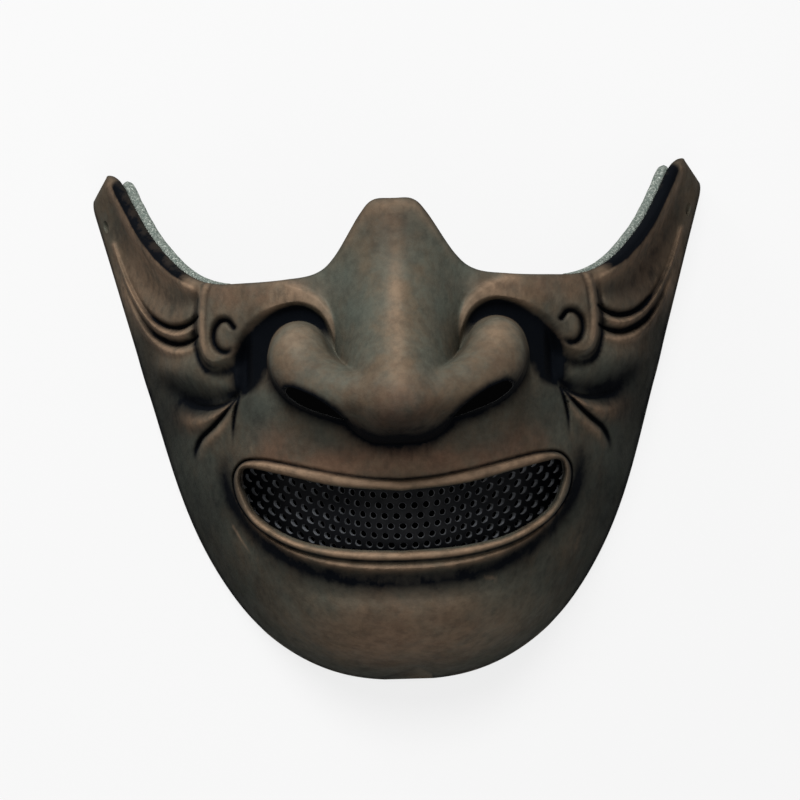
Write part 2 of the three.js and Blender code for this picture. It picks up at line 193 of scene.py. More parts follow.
nose = {
    # up, half breadth, height over the face, and how squarely it rises
    "stations": [
        (70, 21, 11, 1.5), (52, 21, 13, 1.5), (40, 20.5, 17, 1.4), (30, 18.5, 22.5, 1), (22, 17.5, 28, 0.75),
        (15, 17.3, 32.8, 0.6), (11, 17, 34.4, 0.56), (8, 16.8, 34.4, 0.54), (5.5, 16.4, 33.4, 0.52),
        (3.2, 15.4, 31.4, 0.5), (1.2, 14, 28.2, 0.48), (-0.4, 12.4, 24, 0.46), (-1.7, 10.6, 18.4, 0.44),
        (-2.7, 8.8, 12, 0.42), (-3.8, 6, 0, 0.42)],
    "squareness": 2.3,
    # the middle line of a wing of the nose and its nostril rim: side, up, radius and front
    "wing": [
        (28, 23.6, 8.1, 12.5), (27.3, 20, 9.1, 16), (24.8, 16.4, 8.8, 19.5), (19.5, 13, 7.8, 24),
        (12.5, 10.8, 6.8, 28.6), (5, 9.8, 6.4, 31.4)],
    "wingRound": 10.0,
    "wingEdge": 0.94,  # share of the radius where the cap ends and the wall starts
    "wingWall": 12.0,  # how steeply the wall falls to the cheek
    "wingBlend": 0.8,
    "wingSink": 1.8,  # takes back what the overlapping caps add up to
    "wingLimit": 60.0,
    "wingSeam": 2.2,  # how softly the wings run into the nose
    "cheekSeam": (0.9, 2.6, 24, 10),  # and the nose into the cheeks: least, added above, from, over
    "cheekFrom": (42, 3),  # past this side there is cheek alone
}


def noseFront(side, up):
    stations = smoothCurve(nose["stations"][::-1])
    breadth, height, square = [np.interp(up, stations[:, 0], stations[:, k]) for k in (1, 2, 3)]
    away = np.clip(side / breadth, 0, 1) ** nose["squareness"]
    rise = height * (1 - away) ** square
    below = up < nose["stations"][-1][0]
    return np.where(below, 0, rise) + faceFront(side, up)


# A row of overlapping round caps, melted together.
def wingFront(side, up):
    total = np.zeros(side.shape)
    for atSide, atUp, radius, front in smoothCurve(nose["wing"], 5):
        away = np.hypot(side - atSide, up - atUp)
        share = np.clip(away / radius, 0, nose["wingEdge"])
        cap = front - nose["wingRound"] * (1 - np.sqrt(1 - share ** 2))
        cap -= nose["wingWall"] * np.maximum(0, away - nose["wingEdge"] * radius)
        total += np.exp(np.clip(cap, -nose["wingLimit"], nose["wingLimit"]) / nose["wingBlend"])
    return nose["wingBlend"] * (np.log(total) - nose["wingSink"])


cheeks = {
    "scrollHeight": 2.6,
    "scrollEdge": [
        (16.2, 20), (16.1, 25), (17.2, 32), (20.3, 37.4), (24.8, 40.8), (31, 43.4), (42, 47), (54, 48),
        (57.6, 43), (58.9, 37), (59.3, 31), (58.9, 26), (57.4, 22.4), (54.8, 20.6)],
    "scrollFoot": [
        (54.8, 20.6), (50.8, 20.8), (46.8, 22.6), (42.8, 27.2), (40, 31), (36.6, 33.9), (32.5, 36.1),
        (28.6, 36.8), (24.6, 35.9), (21.5, 33.4), (19.3, 28.8), (17.9, 24.4), (17.2, 20)],
    # middle of the hollow: side, up, half width, depth and the breadth of its sloping walls
    "hollow": [
        (18.4, 23, 1, 1.2, 1), (20, 28, 1.7, 4, 1.2), (22.8, 32, 2.5, 7, 1.4), (27.5, 34, 3.5, 9, 1.9),
        (32.5, 32.6, 4.9, 10, 3.2), (36.8, 29.2, 7.2, 10.5, 6.6), (40.2, 24.2, 8.6, 10, 8.4),
        (42, 18.8, 7.8, 7.5, 7.8), (44, 14.8, 5.2, 4.5, 5), (46.2, 12.2, 2.6, 2.4, 2.6),
        (48.6, 11, 1.4, 1, 1.4)],
    "swirlCentre": (50.6, 28.9),
    "swirlRadii": (4.0, 4.7),
    "swirlTurns": (150, -135),
    "swirlInward": 0.16,
    "swirlWidth": 1.1,
    "swirlDepth": 2.2,
    "swirlPoints": 8,
}
# Creases (negative) and ridges (positive) over the face: side, up, half width and height at each point.
lines = {
    "scrollSeam": [
        (53.4, 45.6, 0.55, -0.45), (55.6, 41, 0.55, -0.5), (56.5, 35, 0.55, -0.5), (56.6, 29, 0.5, -0.4),
        (55.8, 24.6, 0.5, -0.1)],
    "scrollShadow": [
        (59.4, 43, 1, -0.3), (60.4, 37, 0.9, -0.9), (60.8, 30, 0.9, -1.1), (60.2, 24.6, 1, -1.1),
        (58.4, 20.4, 1.2, -0.9), (55, 18.6, 1.3, -0.6), (51.4, 18.8, 1.3, -0.2)],
    "hornRidge": [
        (57.4, 41.6, 1.5, 0.3), (62.6, 44.3, 1.6, 1.2), (68.5, 48.4, 1.6, 1.6), (74.6, 54.2, 1.6, 1.8),
        (80.4, 62, 1.6, 1.7), (85.3, 70.7, 1.5, 1.3), (89.1, 77.9, 1.4, 0.6)],
    "hornHollow": [
        (62, 39.6, 2.4, -0.6), (68, 40.6, 4, -1.4), (75, 45.8, 4.8, -1.8), (81.4, 54, 4.6, -1.8),
        (86.4, 64, 3.6, -1.2), (89, 72, 2.4, -0.4)],
    "firstGroove": [
        (59.6, 35.2, 0.7, -1.6), (62.2, 33.5, 0.85, -2.3), (66, 32.5, 0.9, -2.3), (70.4, 33.2, 0.85, -1.8),
        (74.6, 35.6, 0.9, -1.1), (79, 40.4, 0.8, -0.6), (83.6, 48, 0.8, -0.35), (88, 58, 0.8, -0.15)],
    "firstRidge": [
        (60.2, 32.3, 0.8, 0.5), (63.4, 30.6, 0.9, 1), (67.4, 30.1, 0.95, 1.2), (72, 31.6, 1, 1.3),
        (76.6, 35.2, 1, 1.3), (81, 41, 1, 1.3), (85.4, 49.6, 0.95, 1.1), (89, 59.7, 0.9, 0.8)],
    "secondGroove": [
        (59.8, 29.5, 0.7, -1.5), (62.8, 28, 0.85, -2.1), (67, 27.6, 0.9, -2), (71.4, 29, 0.85, -1.5),
        (75.8, 31.8, 0.9, -0.9), (80, 37, 0.9, -0.5), (84, 44.6, 0.8, -0.25), (87.4, 53, 0.8, -0.1)],
    "secondRidge": [
        (60.4, 26.4, 0.9, 0.4), (64.4, 25, 1.1, 0.8), (69.2, 25.3, 1.2, 1.1), (74.2, 27.8, 1.2, 1.2),
        (79, 32.8, 1.15, 1.1), (83.4, 40.4, 1.1, 0.8), (86.8, 49.2, 1, 0.4)],
    "foldValley": [
        (47.6, 12.4, 1.4, -0.6), (52.4, 10.8, 2.6, -1.8), (58.4, 10.4, 3.4, -2.6), (65, 12.6, 3.4, -2.2),
        (71.4, 16.2, 3, -1), (75.5, 19, 2.6, -0.2)],
    "foldLine": [
        (47.4, 11.4, 0.5, -0.6), (50.4, 9.6, 0.7, -1), (54.7, 8.2, 0.8, -1.1), (60, 8.5, 0.9, -0.9),
        (66, 11, 1, -0.3)],
    "tongue": [
        (48.8, 9.2, 0.7, 0.7), (52.2, 7, 1, 1.3), (56.6, 4.8, 1.5, 1.5), (62, 3.6, 2.4, 1.2),
        (68, 5.5, 3.6, 0.4)],
    "wrinkle": [
        (47.8, 10.6, 0.45, -0.8), (51.6, 6.5, 0.6, -1.5), (56, 2.4, 0.68, -1.8), (60, -1, 0.72, -1.6),
        (62.2, -5, 0.7, -0.8), (62.6, -8.2, 0.7, -0.1)],
    "underWrinkle": [(49.6, 6, 0.7, 0.3), (54, 1, 1.2, 0.8), (58.4, -2.8, 1.3, 0.7), (60.4, -6.6, 1.2, 0.2)],
    "uprightCrease": [
        (47, 11, 0.45, -0.8), (48.2, 7.2, 0.5, -1.3), (49, 3.4, 0.5, -1.2), (49.5, -1.4, 0.5, -0.4),
        (49.6, -4.2, 0.5, -0.05)],
    "secondLip": [
        (0, -39.3, 1, 1.7), (11.5, -38.8, 1, 1.7), (23, -37.1, 1, 1.6), (33.3, -33.9, 1, 1.5),
        (41.2, -28.9, 0.95, 1.2), (46.8, -22.7, 0.9, 0.8), (50.4, -15.8, 0.85, 0.1)],
    "chinHollow": [
        (0, -45.6, 3.4, -2), (15, -44.6, 3.5, -2), (28, -41.4, 3.6, -1.9), (38.5, -35.6, 3.5, -1.6),
        (46.5, -27.4, 3.2, -1.2), (51.4, -18, 2.6, -0.6), (53, -9, 2.2, -0.02)],
    "bridgeEdge": [(0, 63.6, 1.6, 0.6), (6.6, 63, 1.6, 0.6), (10.5, 58.8, 1.5, 0.4), (17.4, 48.4, 1.4, 0.2)],
    "noseSpine": [(0, 54, 2.2, 0), (0, 44, 2, 0.5), (0, 30, 2.2, 0.6), (0, 18, 2.6, 0.4), (0, 10, 3, 0)],
}
# Broad swellings: side, up, their two radii and the height.
swellings = [
    (24, 2, 24, 14, 1.6),  # upper lip
    (66, 19.5, 9, 5.5, 1.8),  # cheek over the fold
    (0, -55, 36, 9.5, 1.6),  # chin
]


def insideScroll(side, up):
    outline = np.vstack([smoothCurve(cheeks["scrollEdge"])[:-1], smoothCurve(cheeks["scrollFoot"])])
    return insideOutline(side, up, outline)


# The scroll stands proud with a crisp edge, softer at its outer foot, and dies away beside the nose.
def scrollRise(side, up):
    inside = insideScroll(side, up)
    soft = 0.9 + 2.4 * ease((side - 35) / 5) * ease((36 - up) / 5) * ease((54 - side) / 8)
    tail = 1 - (1 - ease((up - 20.5) / 9)) * ease((28 - side) / 5)
    return cheeks["scrollHeight"] * tail * ease(0.4 + inside / (2 * soft))


def swirl():
    (centreSide, centreUp), (radiusSide, radiusUp) = cheeks["swirlCentre"], cheeks["swirlRadii"]
    turns = np.radians(np.linspace(*cheeks["swirlTurns"], cheeks["swirlPoints"]))
    shares = np.linspace(0, 1, cheeks["swirlPoints"])
    return [(centreSide + radiusSide * (1 - cheeks["swirlInward"] * (1 - share)) * math.cos(turn),
             centreUp + radiusUp * math.sin(turn),
             cheeks["swirlWidth"] * (0.7 + 0.3 * math.sin(math.pi * share)),
             -cheeks["swirlDepth"] * min(1, 4 * (1 - share))) for turn, share in zip(turns, shares)]


def hollowFall(side, up):
    distance, carried = alongCurve(side, up, smoothCurve(cheeks["hollow"]), 10)
    width, depth, slope = np.maximum(carried[..., 0], 0.5), carried[..., 1], np.maximum(carried[..., 2], 0.8)
    return depth * ease((width - distance) / slope)


mouth = {
    "opening": [
        (0, -17), (18, -15.4), (34.5, -11.8), (45, -9.9), (47.2, -12.2), (46.6, -16.8), (42.5, -24.2),
        (32, -30.4), (18, -33.4), (0, -34.4)],
    "lips": [
        (0, -13.8), (9.2, -13.1), (17.8, -11.8), (26.4, -10.1), (35.3, -8.3), (41, -7.5), (46, -7.9),
        (49, -10.6), (49.9, -14.6), (48.6, -20), (45, -25.2), (40.4, -28.9), (32.6, -32.8), (22.3, -35.5),
        (11.5, -36.8), (0, -37.2)],
    "cut": (25, -60),  # from this front to that one
    "lipHeight": 2.4,
    "lipStart": 1.2,  # how far the roll starts below the skin at the opening
    "openingSink": 1.6,
    "grooveDepth": 1.3,
    "grooveWidth": 0.5,
}


def closedHalves(points):
    half = smoothCurve(points)
    return np.vstack([half, (half * (-1, 1))[-2:0:-1]])


def lipRise(side, up):
    opening = -insideOutline(side, up, closedHalves(mouth["opening"]))
    lips = insideOutline(side, up, closedHalves(mouth["lips"]))
    share = np.clip(opening / np.maximum(opening + lips, 0.2), 0, 1)  # across the roll
    roll = (1 - np.abs(2 * share - 1) ** 2.4) ** 0.6
    between = (opening > 0) & (lips > 0)
    into = np.where(opening <= 0, -mouth["openingSink"], 0)
    groove = -mouth["grooveDepth"] * np.exp(-(lips / mouth["grooveWidth"]) ** 2)
    rise = mouth["lipHeight"] * roll - mouth["lipStart"] * (1 - ease(opening))
    return np.where(between, rise, into) + groove


def skinRelief(side, up):
    relief = scrollRise(side, up) + lipRise(side, up) + spots(side, up, swellings)
    return relief + sum(stroke(side, up, points) for points in [*lines.values(), swirl()])


# The cheeks without the hollows beside the nose.
def cheekFront(side, up):
    facing = np.maximum(faceNormal(side, up)[2], face["leastFacing"])
    return faceFront(side, up) + skinRelief(side, up) / facing


def skinFront(side, up):
    skin = cheekFront(side, up) - hollowFall(side, up)
    least, added, seamFrom, seamOver = nose["cheekSeam"]
    blend = least + added * ease((up - seamFrom) / seamOver)
    whole = softMax(softMax(noseFront(side, up), wingFront(side, up), nose["wingSeam"]), skin, blend)
    cheekFrom, cheekOver = nose["cheekFrom"]
    plain = ease((side - cheekFrom) / cheekOver)
    return whole * (1 - plain) + skin * plain


# Where the paint is darkened with painted shade and blue-black wash, cool, warm, or lightened to tan as
# rubbed wear and painted highlight, from 0 to 1. Spots: side, up, two radii, amount.
paint = {
    # painted shade spots on the nose tip and under it, on the bridge, beside the hollow, in the fold, at the
    # mouth's corners and on the cheeks' steep sides
    "shadeAndWash": [
        (45, 15, 5, 6, 0.5), (60, 9, 6, 3, 0.4), (78, 8, 14, 20, 0.36), (51, -14, 4.5, 10, 0.2),
        (58, -22, 12, 18, 0.5), (66, 6, 9, 9, 0.4), (78, 30, 8, 12, 0.2), (30, 38.5, 8, 2, 0.2),
        (0, 3.5, 14, 6, 0.45), (0, -1.2, 12, 4.2, 0.4), (42, 5, 9, 7, 0.42), (45.5, 25, 4.2, 8, 0.6),
        (0, 60, 13, 9, 0.26), (44, -44, 14, 8, 0.3), (12, 30, 3.5, 14, 0.1)],
    "cool": [
        (40, 7, 9, 7, 0.8), (24, -3, 14, 4, 0.4), (17, 46, 8, 14, 0.9), (12, 30, 5, 12, 0.6),
        (75, 50, 9, 9, 0.6), (66, 40, 8, 4, 0.6), (62, 12, 14, 8, 0.6), (56, -20, 9, 16, 0.6),
        (30, -52, 16, 10, 0.55), (0, -44, 44, 4, 0.35), (66, -2, 9, 22, 0.6)],
    "warm": [
        (10, -9, 26, 4.5, 1), (0, 6, 13, 9, 0.5), (36, -3, 8, 6, 0.5), (30, 41, 10, 3, 0.5),
        (48, 41, 12, 4, 0.5), (0, -60, 20, 12, 0.6), (28, 17, 9, 8, 0.2), (0, 58, 8, 8, 0.2)],
    # painted highlights on the wings' tops, the horns, the chin and above the lip, with rubbed wear
    "worn": [
        (28.5, 27, 6, 4.5, 0.4), (4, -9.8, 26, 2.8, 0.5), (50, 34, 8, 10, 0.2), (34, 40, 12, 4, 0.22),
        (70, 22, 10, 4, 0.12), (4, -60, 34, 13, 0.5), (76, 52, 14, 24, 0.95), (0, -36, 34, 1.5, 0.2)],
    # painted shade on the right half, where the right horn and cheek turn away from the light
    "shadeRightHalf": [(76, 50, 15, 24, 0.34), (60, -10, 10, 30, 0.05)],  # on the right half only
    "rimShade": (4.0, 0.75),  # painted shade along the rear rim: the height at which it ends, and its amount
    "hollowShade": 6.5,  # the painted shade is full at this depth of the hollow
    "creaseShadeAndWash": 1.3,  # painted shade and blue-black wash are full at this depth of a crease, unless it is broader than wideCrease
    "wideCrease": 1.6,
    "ridgeWornAndHighlight": 1.05,  # a ridge of this height is painted full tan, as rubbed wear and painted highlight
    "cheekSide": 42,  # no nose beyond this side
    # lines of painted shade and blue-black wash under the nose, in the chin hollow, beside the hollow, along
    # the horn's rim and beside the scroll: side, up, half width and amount
    "lines": [
        [
            (0, -3.8, 2.6, 0.85), (6, -3.2, 2.6, 0.85), (11, -0.6, 2.4, 0.85), (16, 2.6, 2.4, 0.95),
            (24, 6, 3, 1), (31.4, 10.4, 3, 1), (36.2, 15.2, 2.2, 0.8), (38, 21, 1.5, 0.6)],
        [
            (0, -43.2, 3.7, 1), (15, -42.3, 3.7, 1), (28, -39.2, 3.4, 0.95), (38.5, -33.5, 3.1, 0.9),
            (46.8, -26, 2.8, 0.75), (51.6, -16.6, 2.4, 0.5), (52.8, -8, 2, 0.3)],
        [
            (47.4, 14, 2, 0.5), (46.6, 19, 2.4, 0.75), (45, 24, 2.2, 0.6), (42, 28.8, 1.6, 0.4),
            (38, 33, 1.2, 0.2)],
        [
            (57, 44.6, 0.9, 0.4), (66.7, 48.4, 1, 1.1), (76.7, 58.9, 1.1, 1.25), (83.3, 69.9, 1.1, 1.25),
            (87.3, 77.4, 1.1, 1.1)],
        [
            (59.8, 40, 0.9, 0.4), (60.8, 33, 1, 0.75), (60.4, 26, 1.2, 0.9), (58.4, 20.4, 1.4, 0.9),
            (54.8, 18.4, 1.5, 0.8), (50.6, 18.6, 1.8, 0.7), (47, 19.6, 2, 0.6)],
    ],
    # the scroll's edge lightened as rubbed wear and painted highlight
    "scrollRim": (1.3, 1.25, 0.6),  # how far inside the edge, how broad and how strong
    # a painted highlight along the nose's spine: breadth and strength
    "spine": (2.6, 0.22),
}


def paintFields(side, up, front):
    skin, body = cheekFront(side, up), noseFront(side, up)
    offNose = body - faceFront(side, up) < 0.4
    body = np.maximum(np.where(offNose, -nose["wingLimit"], body), wingFront(side, up))
    besideNose = side < paint["cheekSide"]
    offBody = 1 - ease((body - skin + 2.0) / 3.0) * besideNose
    # painted shade in the hollow beside the nose
    shadeAndWash = [ease(hollowFall(side, up) / paint["hollowShade"]) * offBody]
    shadeAndWash += [stroke(side, up, points) for points in paint["lines"]]
    worn = np.zeros(side.shape)
    # creases are darkened with painted shade and blue-black wash; ridges are lightened to tan as rubbed wear
    # and painted highlight
    for points in [*lines.values(), swirl()]:
        distance, width, height = lineAt(side, up, points)
        near = np.exp(-(distance / (1.1 * width)) ** 2)
        narrow = np.clip(paint["wideCrease"] / width, 0.35, 1)
        shadeAndWash.append(np.clip(-height / paint["creaseShadeAndWash"], 0, 1) * near * narrow)
        worn = np.maximum(worn, np.clip(height / paint["ridgeWornAndHighlight"], 0, 1) * near)

    # the scroll's edge lightened as rubbed wear and painted highlight, and the painted shadow beside it
    inside = insideScroll(side, up)
    inset, breadth, strength = paint["scrollRim"]
    rim = np.exp(-((inside - inset) / breadth) ** 2) * strength * ease((up - 21) / 6)
    worn = np.maximum(worn, rim * offBody)
    besideScroll = np.exp(-((inside + 0.8) / 0.7) ** 2) * ease((side - 50) / 5) * ease((43 - up) / 4)
    shadeAndWash.append(0.7 * besideScroll)

    # the lips' roll lightened as rubbed wear and painted highlight, then painted shade along their outline,
    # into the opening's cut, in the seam under the nose, around the nostrils and along the rear rim
    opening = -insideOutline(side, up, closedHalves(mouth["opening"]))
    lips = insideOutline(side, up, closedHalves(mouth["lips"]))
    onLip = ease(opening / 0.8) * ease((lips - 0.1) / 0.9)
    worn = np.maximum(worn * (1 - ease((lips + 0.4) / 0.8)), onLip * (1 - 0.6 * ease((side - 40) / 8)))
    height = toRow(side, up, front)[..., 2] / mm
    rimHeight, rimAmount = paint["rimShade"]
    shadeAndWash = np.maximum.reduce([
        np.maximum.reduce(shadeAndWash) * (1 - onLip),
        0.9 * np.exp(-((lips + 0.05) / np.where(up > -20, 0.34, 0.5)) ** 2),
        ease((0.6 - opening) / 1.2),
        0.95 * np.exp(-((body - skin) / 4.5) ** 2) * ease((20 - up) / 6) * besideNose,
        ease((insideOutline(side, up, nostrilOutline()) + 2.4) / 2.4),
        rimAmount * ease(1 - height / rimHeight)])
    # a painted highlight along the nose's spine
    spineBreadth, spineStrength = paint["spine"]
    spine = np.exp(-(side / spineBreadth) ** 2) * ease((up - 8) / 14) * ease((66 - up) / 6)
    worn = np.maximum(worn, spine * spineStrength)
    return {
        "shadeAndWash": np.clip(shadeAndWash + spots(side, up, paint["shadeAndWash"]), 0, 1),
        "worn": np.clip(worn + spots(side, up, paint["worn"]), 0, 1),
        "cool": np.clip(spots(side, up, paint["cool"]), 0, 1),
        "warm": np.clip(spots(side, up, paint["warm"]), 0, 1),
        # painted shade on the steep sides low near the rear rim, less toward the top
        "edge": ease(1 - height / 30) * (1 - 0.75 * ease((up - 28) / 14)),
    }


# Pale scratches, each on one side only: side, up, half width and strength.
scratches = [
    [(-50.8, -27, 0.25, 0.5), (-48.4, -31, 0.3, 0.6), (-46.4, -34, 0.2, 0.4)],
    [(-44, -2, 0.2, 0.5), (-43.4, -5.2, 0.2, 0.4)],
    [(23, -42.8, 0.2, 0.4), (26.4, -43.2, 0.2, 0.5)],
    [(52, -33, 0.2, 0.4), (50.6, -37.5, 0.22, 0.4)],
]


def scratchField(side, up):
    return np.clip(sum(stroke(side, up, points, 0.15, 3) for points in scratches), 0, 1)


def evenly(points):
    lengths = np.concatenate([[0], np.cumsum(np.hypot(*np.diff(points, axis=0).T))])
    return lengths / lengths[-1]


def lowerOutline(overshoot):
    turn = np.radians(np.linspace(90, 0, 90))
    over = math.sqrt(overshoot)
    up = -face["chinDrop"] * (np.sin(turn) * over) ** (2 / face["chinRoundness"])
    halfWidth = face["halfWidth"] + face["widthFlare"] * up
    side = halfWidth * (np.cos(turn) * over) ** (2 / face["sideRoundness"])
    rise = np.linspace(1, face["cornerUp"], 40)
    flare = (face["halfWidth"] + face["widthFlare"] * rise) * overshoot ** (1 / face["sideRoundness"])
    return np.vstack([np.column_stack([side, up]), np.column_stack([flare, rise])])


topRim = [
    (0, 65.4), (5.6, 65.1), (9.6, 61.2), (17.2, 50), (23.2, 45.4), (32, 44), (44, 43.6), (56, 44.4),
    (66, 49.3), (75.8, 59.6), (82.4, 70.4), (86.4, 78), (90.6, 82)]
shell = {
    "columns": 300,  # on each side
    "rows": 340,
    "innerRows": 50,
    "rollSteps": 8,
    "rimRadius": 1.3,
    "rollRadius": 1.5,
    "crowding": 1.3,
    "tipTaper": 0.03,
    "padClearance": 0.35,
    "seatBreadth": 9.0,  # a thicker border around the mouth, on which the mesh is glued
    "seatDepth": 2.3,
    "mostTriangles": 190000,
}
# the inner skin's paint, darkened as painted shade inside the mask
insidePaint = {"shadeAndWash": 0.7, "worn": 0.0, "cool": 0.3, "warm": 0.0, "edge": 0.5}


def upperOutline():
    rim = smoothCurve(topRim, 12)
    run = np.gradient(rim, axis=0)
    run /= np.hypot(*run.T)[:, None]
    inset = rim + np.column_stack([run[:, 1], -run[:, 0]]) * shell["rimRadius"]
    inset[0, 0] = 0
    return inset


def skinPlace(across, upward):
    low, high = lowerOutline(face["rimOvershoot"]), upperOutline()
    lowShare, highShare = evenly(low), evenly(high)
    lowPlace = [np.interp(across, lowShare, low[:, k]) for k in (0, 1)]
    highPlace = [np.interp(across, highShare, high[:, k]) for k in (0, 1)]
    climb = upward ** shell["crowding"]
    return [a + (b - a) * climb for a, b in zip(lowPlace, highPlace)]


# Moves the sampling places along one axis until neighbours lie about equally far apart on the skin.
def equalise(across, upward, axis):
    side, up = skinPlace(across, upward)
    skin = np.stack([side, up, skinFront(side, up)], -1)
    gaps = np.linalg.norm(np.diff(skin, axis=axis), axis=-1)
    gaps = blurred(gaps, 5, axes=(1 - axis,))
    gaps = blurred(gaps, 1.5, axes=(axis,)) + 0.12 * gaps.mean()
    turned = [(array.T if axis == 0 else array) for array in (gaps, (upward, across)[axis])]
    rows = []
    for gap, values in zip(*turned):
        place = np.concatenate([[0], np.cumsum(gap)])
        rows.append(np.interp(np.linspace(0, place[-1], len(place)), place, values))
    return np.array(rows).T if axis == 0 else np.array(rows)


# The inner skin's extra front over the plain inner face: the outer relief, kept a wall away from it.
def innerRelief(side, up):
    wide, high, low = 104, 90, -84
    rasterUp, rasterSide = np.mgrid[low:high, 0:wide].astype(float)
    relief = skinFront(rasterSide, rasterUp) - faceFront(rasterSide, rasterUp)
    reach = int(face["wall"] + 0.5)
    full = np.concatenate([relief[:, :0:-1], relief], 1)
    padded = np.pad(full, reach, mode="edge")
    tall, broad = full.shape
    steps = range(2 * reach + 1)
    least = np.minimum.reduce([padded[down:down + tall, right:right + broad] for down in steps
                               for right in steps if math.hypot(down - reach, right - reach) <= reach + 0.3])
    least = blurred(least, 1.1)[:, wide - 1:]
    least = np.maximum(least, -20 + (20 - shell["padClearance"]) * ease((rasterSide - 43) / 5))
    border = np.abs(insideOutline(rasterSide, rasterUp, closedHalves(mouth["opening"])))
    seat = ease((shell["seatBreadth"] - border) / 4)
    facing = np.maximum(faceNormal(rasterSide, rasterUp)[2], 0.5)
    least = least * (1 - seat) - shell["seatDepth"] / facing * seat
    rowPlace = np.clip(up - low, 0, high - low - 1.001)
    columnPlace = np.clip(np.abs(side), 0, wide - 1.001)
    row, column = rowPlace.astype(int), columnPlace.astype(int)
    rowShare, columnShare = rowPlace - row, columnPlace - column
    lower = least[row, column] * (1 - columnShare) + least[row, column + 1] * columnShare
    upper = least[row + 1, column] * (1 - columnShare) + least[row + 1, column + 1] * columnShare
    return lower * (1 - rowShare) + upper * rowShare


def meshFrom(name, bm):
    mesh = bpy.data.meshes.new(name)
    bm.to_mesh(mesh)
    bm.free()
    return mesh


def addAmounts(mesh, key, amounts):
    attribute = mesh.attributes.new(key, "FLOAT", "POINT")
    attribute.data.foreach_set("value", amounts.astype(np.float32))


def gridMesh(name, columns, rows, points, values):
    bm = bmesh.new()
    bmesh.ops.create_grid(bm, x_segments=columns, y_segments=rows, size=1)
    bm.verts.ensure_lookup_table()
    starts = np.array([vert.co[:2] for vert in bm.verts])
    column = np.rint((starts[:, 0] + 1) / 2 * columns).astype(int)
    row = np.rint((starts[:, 1] + 1) / 2 * rows).astype(int)
    mesh = meshFrom(name, bm)
    mesh.vertices.foreach_set("co", points[row, column].astype(np.float32).ravel())
    for key, field in values.items():
        addAmounts(mesh, key, field[row, column])
    return mesh


def cleaned(mesh):
    bm = bmesh.new()
    bm.from_mesh(mesh)
    bmesh.ops.remove_doubles(bm, verts=bm.verts, dist=mergeDistance)
    bmesh.ops.recalc_face_normals(bm, faces=bm.faces)
    openEdges = sum(1 for edge in bm.edges if not edge.is_manifold)
    print("  open or shared edges:", openEdges)
    bm.to_mesh(mesh)
    bm.free()


def pieceOf(name, mesh):
    piece = bpy.data.objects.new(name, mesh)
    bpy.context.scene.collection.objects.link(piece)
    return piece


def applied(piece):
    graph = bpy.context.evaluated_depsgraph_get()
    mesh = bpy.data.meshes.new_from_object(piece.evaluated_get(graph))
    piece.modifiers.clear()
    piece.data = mesh


def triangleCount(mesh):
    return sum(len(polygon.vertices) - 2 for polygon in mesh.polygons)


def cutWith(piece, cutters, operation="DIFFERENCE"):
    for cutter in cutters:
        cut = piece.modifiers.new("cut", "BOOLEAN")
        cut.operation = operation
        cut.solver = "MANIFOLD"
        cut.object = cutter
        applied(piece)
        print("  cut", cutter.name, "->", len(piece.data.polygons), "faces")
        bpy.data.objects.remove(cutter)


def finished(piece, material):
    piece.data.materials.clear()
    piece.data.materials.append(material)
    piece.data.polygons.foreach_set("material_index", np.zeros(len(piece.data.polygons), np.int32))


def smoothShaded(mesh, degrees):
    mesh.polygons.foreach_set("use_smooth", np.ones(len(mesh.polygons), bool))
    mesh.set_sharp_from_angle(angle=math.radians(degrees))


def painted(piece, amounts):
    for key in insidePaint:
        addAmounts(piece.data, key, np.full(len(piece.data.vertices), amounts.get(key, 0.0)))
    return piece


def rowPoint(side, up, front):
    return Vector(toRow(np.array([float(side)]), np.array([float(up)]), np.array([float(front)]))[0])


def extruded(bm, faces, travel):
    made = bmesh.ops.extrude_face_region(bm, geom=faces)
    moved = [item for item in made["geom"] if isinstance(item, bmesh.types.BMVert)]
    bmesh.ops.translate(bm, verts=moved, vec=travel)
    bmesh.ops.recalc_face_normals(bm, faces=bm.faces)


# A closed solid: a flat outline carried one straight way.
def prism(name, corners, travel):
    bm = bmesh.new()
    extruded(bm, [bm.faces.new([bm.verts.new(corner) for corner in corners])], travel)
    return pieceOf(name, meshFrom(name, bm))


# An outline drawn in side and up, taken straight back between two fronts.
def straightCutter(name, outline, frontAt, backAt):
    corners = [rowPoint(side, up, frontAt) for side, up in outline]
    # the cut's walls are darkened fully, as painted shade inside the opening
    return painted(prism(name, corners, rowPoint(0, 0, backAt) - rowPoint(0, 0, frontAt)), {"shadeAndWash": 1.0})


def rimCutter():
    bm = bmesh.new()
    bmesh.ops.create_cube(bm, size=1)
    bmesh.ops.scale(bm, verts=bm.verts, vec=(0.5, 0.5, 0.2))
    bmesh.ops.translate(bm, verts=bm.verts, vec=(0, 0, shellLow.z - 0.1))
    # the flat rear rim is darkened, as painted shade where it lies on the floor
    return painted(pieceOf("rimCutter", meshFrom("rimCutter", bm)), {"shadeAndWash": 0.6, "edge": 1.0})


nostrils = {
    "outline": [
        (15, 3.4), (19.4, 4.7), (24.4, 6.4), (29, 8.6), (32.6, 11.8), (30.8, 13.4), (26, 11.8), (21.5, 9.2),
        (17.6, 6.2)],
    "cut": (30, -30),  # from this front to that one
    "darkReach": 0.25,
}


def nostrilOutline():
    return smoothCurve(nostrils["outline"] + nostrils["outline"][:1], 5)[:-1]


strapHoles = {"radius": 2.0, "up": 66.0, "front": -97.0, "sides": 32, "length": 240.0}


